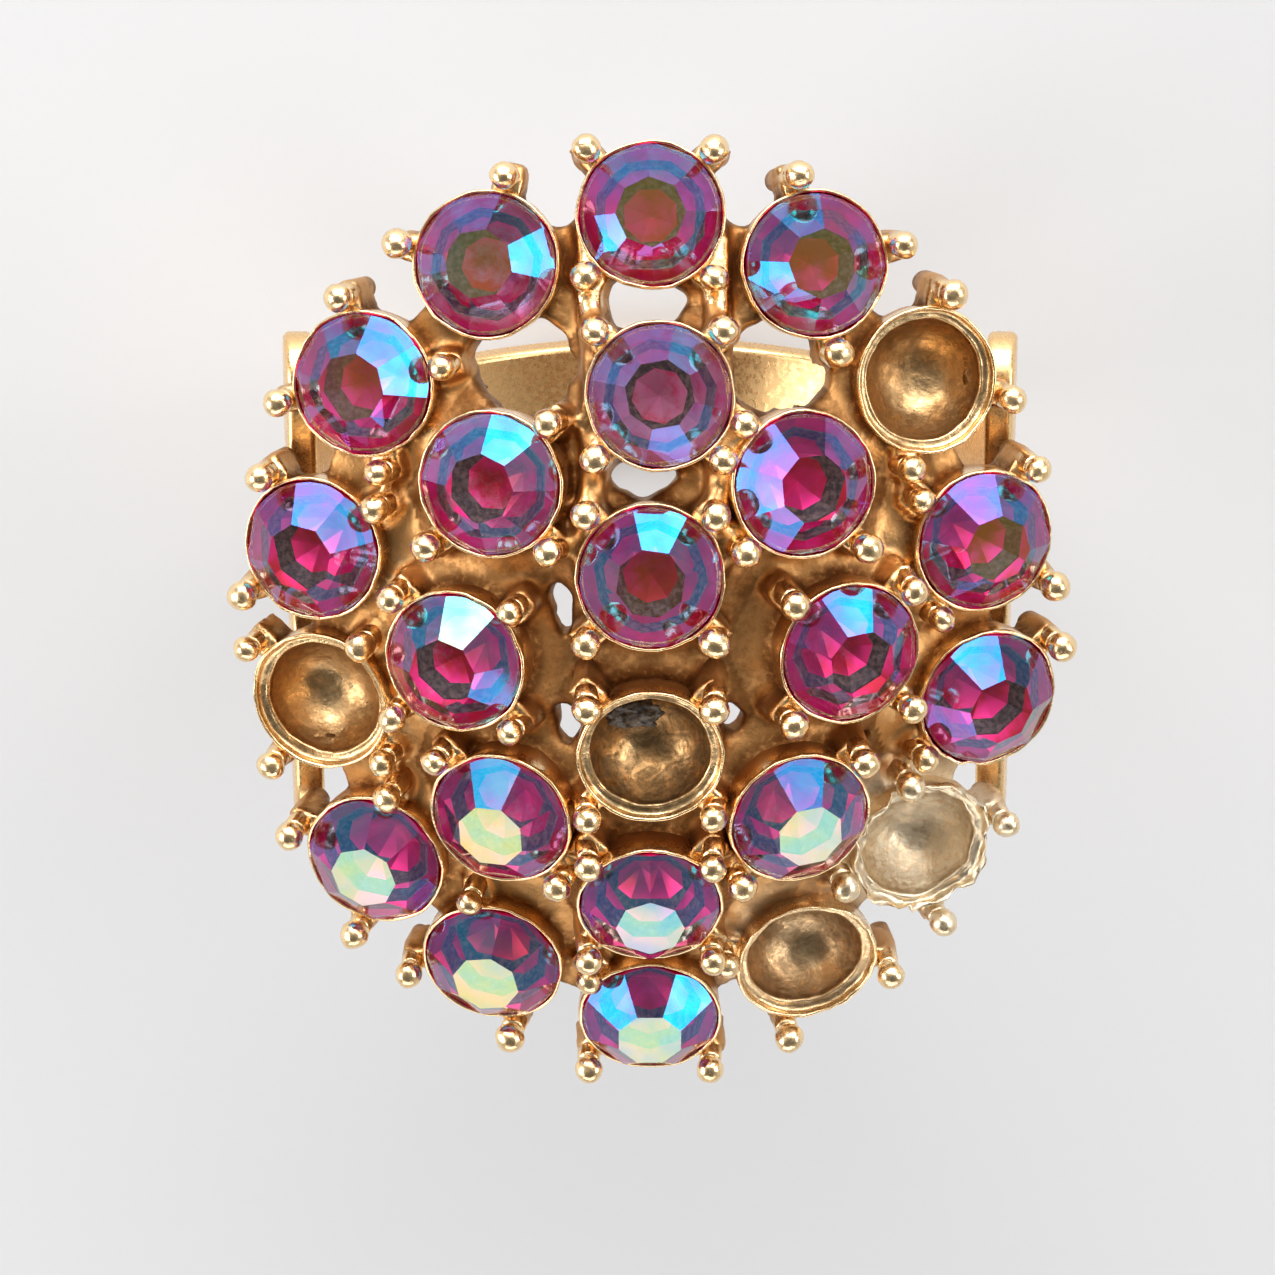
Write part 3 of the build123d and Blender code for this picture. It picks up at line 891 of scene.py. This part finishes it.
# ---- The stones ---------------------------------------------------------------------------------
@dataclass
class StoneSet:
    """The foil-backed stones: a table and eight crown facets over an eight-sided foil back."""

    layout: DomeLayout
    crown: bpy.types.Material
    foil: bpy.types.Material
    girdle_r: float = 1.95
    table_r: float = 0.90
    crown_h: float = 1.0
    girdle: float = 0.12
    pavilion: float = 1.5
    point_r: float = 0.03
    round_steps: int = 6
    film_table: float = 187.0
    film_crown: float = 134.0
    film_spread: float = 10.0
    rubbed_tables: tuple = ("outer_12", "inner_08", "inner_01", "inner_02", "inner_07", "inner_03", "outer_05")
    thick_tables: dict = field(default_factory=lambda: {"crown_01": 206.0, "outer_13": 206.0, "outer_04": 196.0,
                                                        "inner_05": 168.0, "inner_06": 184.0,
                                                        "inner_04": 176.0, "outer_08": 177.0, "outer_09": 179.0,
                                                        "outer_10": 176.0})
    thick_facets: dict = field(default_factory=lambda: {("inner_07", 90): 163.0, ("outer_05", 80): 176.0,
                                                        ("outer_01", 80): 146.0, ("inner_08", 65): 146.0,
                                                        ("outer_04", 60): 148.0, ("outer_02", 20): 148.0})
    age: dict = field(default_factory=lambda: {
        "inner_01": 0.62, "inner_08": 0.45, "outer_14": 0.5, "inner_04": 0.45, "inner_06": 0.45,
        "inner_03": 0.4, "inner_07": 0.4})

    def _shape(self, seat: Seat) -> tuple[list, list, int]:
        """The stone's vertices and faces, and how many of the faces belong to the crown."""
        slope = self.crown_h / (self.girdle_r - self.table_r)
        back_slope = self.pavilion / (self.girdle_r - self.point_r * cos(pi / 8))
        corner = self.table_r / cos(pi / 8)
        spin = radians(seat.spin)
        table = [Vector((corner * cos(spin + (k + 0.5) * pi / 4), corner * sin(spin + (k + 0.5) * pi / 4),
                         self.crown_h)) for k in range(8)]
        ring_top, ring_low = [], []
        per = 2 * self.round_steps
        for k in range(8 * per):
            angle = (k / per - 0.5) * pi / 4
            off = (k % per) / per * pi / 4 - pi / 8
            reach = self.girdle_r * cos(off)
            top = (self.girdle_r - reach) * slope
            x, y = self.girdle_r * cos(angle + spin), self.girdle_r * sin(angle + spin)
            ring_top.append(Vector((x, y, max(top, 0.0))))
            half_on = (k + self.round_steps) % per / per * pi / 4 - pi / 8
            low = (self.girdle_r - self.girdle_r * cos(half_on)) * back_slope
            ring_low.append(Vector((x, y, -self.girdle - low)))
        verts = table + ring_top + ring_low
        top0, low0 = 8, 8 + 8 * per
        faces = [tuple(range(8))]
        for k in range(8):
            arc = [top0 + (k * per + i) % (8 * per) for i in range(per + 1)]
            faces.append((table_index(k - 1), *arc, table_index(k)))
        crown_faces = len(faces)
        for i in range(8 * per):
            n = (i + 1) % (8 * per)
            faces.append((top0 + i, low0 + i, low0 + n, top0 + n))
        tip0 = len(verts)
        for k in range(8):
            angle = spin + k * pi / 4
            verts.append(Vector((self.point_r * cos(angle), self.point_r * sin(angle), -self.girdle - self.pavilion)))
        for k in range(8):
            start = k * per + self.round_steps
            arc = [low0 + (start + i) % (8 * per) for i in range(per + 1)]
            faces.append((tip0 + k, *arc, tip0 + (k + 1) % 8))
        faces.append(tuple(tip0 + k for k in range(8)))
        return verts, faces, crown_faces

    def _film(self, seat: Seat, count: int) -> np.ndarray:
        """Thickness of the coating on each face, in nanometres: thick on the table, thinner on the facets."""
        random = np.random.default_rng(sum(ord(c) for c in seat.name))
        film = self.film_crown + random.uniform(-1, 1, count) * self.film_spread
        film[0] = self.thick_tables.get(seat.name, self.film_table) + random.uniform(-3, 3)
        if seat.name in self.rubbed_tables:
            film[0] = 0.0
        for (name, azimuth), value in self.thick_facets.items():
            if name == seat.name:
                film[1 + round((azimuth - seat.spin) / 45) % 8] = value
        return film

    def build(self) -> None:
        """Makes one piece for each stone."""
        for seat in (s for s in self.layout.seats if s.stone):
            verts, faces, crown_faces = self._shape(seat)
            mesh = bpy.data.meshes.new(f"gem_{seat.name}")
            mesh.from_pydata([tuple(seat.place(*v)) for v in verts], [], faces)
            made = bmesh.new()
            made.from_mesh(mesh)
            bmesh.ops.recalc_face_normals(made, faces=made.faces)
            made.to_mesh(mesh)
            made.free()
            obj = bpy.data.objects.new(f"gem_{seat.name}", mesh)
            bpy.context.collection.objects.link(obj)
            mesh.materials.append(self.crown)
            mesh.materials.append(self.foil)
            slots = [0 if i < crown_faces else 1 for i in range(len(faces))]
            mesh.polygons.foreach_set("material_index", slots)
            set_attribute(mesh, "film", self._film(seat, len(faces)), "FACE")
            set_attribute(mesh, "age", np.full(len(faces), self.age.get(seat.name, 0.2)), "FACE")
            finish_piece(obj, self.crown, (f"stone_{seat.name}",), smooth=False)


def table_index(k: int) -> int:
    """The table's corner k, counted round and round."""
    return k % 8


# ---- Old cement ---------------------------------------------------------------------------------
@dataclass
class Residue:
    """A lump of cement left in one empty cup."""

    layout: DomeLayout
    finish: bpy.types.Material
    seat_name: str = "crown_02"
    spot: tuple = (-0.45, 0.72, -1.22)
    size: tuple = (0.78, 0.40, 0.26)

    def build(self) -> None:
        """Makes the lump."""
        seat = next(s for s in self.layout.seats if s.name == self.seat_name)
        obj = mesh_object("cement_lump", [], [])
        made = bmesh.new()
        bmesh.ops.create_icosphere(made, subdivisions=5, radius=1.0)
        for vert in made.verts:
            ripple = 1.0 + 0.45 * noise.noise(vert.co * 1.9) + 0.16 * noise.noise(vert.co * 6.0)
            local = Vector([part * scale * ripple for part, scale in zip(vert.co, self.size)])
            vert.co = seat.place(*(local + Vector(self.spot)))
        made.to_mesh(obj.data)
        made.free()
        finish_piece(obj, self.finish, ())


# ---- The hoop -----------------------------------------------------------------------------------
@dataclass
class Hoop:
    """The band: it keeps its CAD shape and gets its finish."""

    finish: bpy.types.Material

    def build(self) -> None:
        """Dresses the CAD hoop."""
        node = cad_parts["hoop"]
        node.data.materials.clear()
        node.data.materials.append(self.finish)


# ---- Studio -------------------------------------------------------------------------------------
@dataclass
class Studio:
    """Pale floor, soft lights and the camera."""

    tilt: float = 20.0
    distance: float = 150.0
    lens: float = 153.3
    aim: tuple = (-0.36, 0.84)

    def floor(self) -> None:
        """A plain pale floor under the lowest point of the ring."""
        low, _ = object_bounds()
        mesh = bpy.data.meshes.new("floor")
        size = 2.0
        mesh.from_pydata([(x * size, y * size, low.z - 0.00002) for x, y in ((-1, -1), (1, -1), (1, 1), (-1, 1))],
                         [], [(0, 1, 2, 3)])
        obj = bpy.data.objects.new("floor", mesh)
        bpy.context.collection.objects.link(obj)
        material, g = new_material("pale_floor")
        shader = g.node("ShaderNodeBsdfPrincipled", {"Base Color": (0.56, 0.56, 0.57, 1), "Roughness": 0.6})
        g.node("ShaderNodeOutputMaterial", {"Surface": shader.outputs[0]})
        mesh.materials.append(material)
        obj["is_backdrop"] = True

    @staticmethod
    def light(name: str, azimuth: float, elevation: float, reach: float, size: tuple, power: float,
              colour: tuple = (1, 1, 1)) -> None:
        """A soft box that faces the dome.

        Args:
            name: The light's name.
            azimuth: Degrees from +X towards +Y.
            elevation: Degrees above the floor.
            reach: Distance in millimetres.
            size: Width and height in millimetres.
            power: Watts.
            colour: Its colour.
        """
        data = bpy.data.lights.new(name, "AREA")
        data.shape = "RECTANGLE"
        data.size, data.size_y = size[0] * MM, size[1] * MM
        data.energy = power
        data.color = colour
        obj = bpy.data.objects.new(name, data)
        a, e = radians(azimuth), radians(elevation)
        way = Vector((cos(a) * cos(e), sin(a) * cos(e), sin(e)))
        obj.location = Vector((0, 0, 14 * MM)) + way * reach * MM
        obj.rotation_mode = "QUATERNION"
        obj.rotation_quaternion = way.to_track_quat("Z", "Y")
        bpy.context.collection.objects.link(obj)

    def lights(self) -> None:
        """Soft boxes beyond the dome's two ends, a narrow card above the far one, and weak boxes at the sides."""
        self.light("far_box", 90, 20, 300, (460, 210), 1.7, (0.94, 0.97, 1.0))
        self.light("high_card", 82, 47, 300, (480, 60), 0.22, (1.0, 0.96, 0.9))
        self.light("near_box", -90, 32, 300, (420, 140), 0.42)
        self.light("left_box", 184, 24, 300, (200, 170), 0.6)
        self.light("right_box", 8, 30, 300, (150, 120), 0.3)
        world = bpy.data.worlds.new("room")
        bpy.context.scene.world = world
        world.use_nodes = True
        g = Graph(world.node_tree)
        toward = g.node("ShaderNodeVectorMath", {0: g.node("ShaderNodeTexCoord").outputs["Generated"],
                                                 1: (0.0, -0.34, 0.94)}, operation="DOT_PRODUCT").outputs["Value"]
        glow = g.ramp(toward, 0.35, 0.95, 0.62, 0.15)
        back = g.node("ShaderNodeBackground", {"Color": (1.0, 0.97, 0.93, 1), "Strength": glow})
        g.node("ShaderNodeOutputWorld", {"Surface": back.outputs[0]})

    def camera(self, crown_z: float) -> None:
        """A long lens that looks down on the dome, leaning towards its top.

        Args:
            crown_z: Height of the point that the view turns about, in millimetres.
        """
        a = radians(self.tilt)
        back, up = Vector((0, sin(a), cos(a))), Vector((0, cos(a), -sin(a)))
        target = Vector((0, 0, crown_z)) + Vector((1, 0, 0)) * self.aim[0] + up * self.aim[1]
        data = bpy.data.cameras.new("camera")
        data.lens = self.lens
        data.sensor_width = 36.0
        data.clip_start, data.clip_end = 0.01, 10.0
        obj = bpy.data.objects.new("camera", data)
        obj.location = (target + back * self.distance) * MM
        obj.rotation_mode = "QUATERNION"
        obj.rotation_quaternion = Matrix((Vector((1, 0, 0)), up, back)).transposed().to_quaternion()
        bpy.context.collection.objects.link(obj)
        bpy.context.scene.camera = obj


def main() -> None:
    """Builds the ring's pieces in order, then the studio."""
    logging.basicConfig(level=logging.INFO, format="%(name)s %(message)s")
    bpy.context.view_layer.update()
    layout = DomeLayout()
    casting = GiltFinish("gilt_casting").material()
    band = GiltFinish("gilt_hoop", bright=(0.88, 0.58, 0.27, 1), polish=0.24, grit=0.35).material()
    CastHead(layout, casting).build()
    StoneSet(layout, CoatedGlass().material(), StoneFoil().material()).build()
    Hoop(band).build()
    cement = CementFinish().material()
    Residue(layout, cement).build()
    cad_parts["cement_beds"].data.materials.clear()
    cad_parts["cement_beds"].data.materials.append(cement)
    studio = Studio()
    studio.floor()
    studio.lights()
    studio.camera(layout.crown_z)
    bpy.context.scene.view_settings.view_transform = "Standard"


if __name__ == "__main__":
    main()
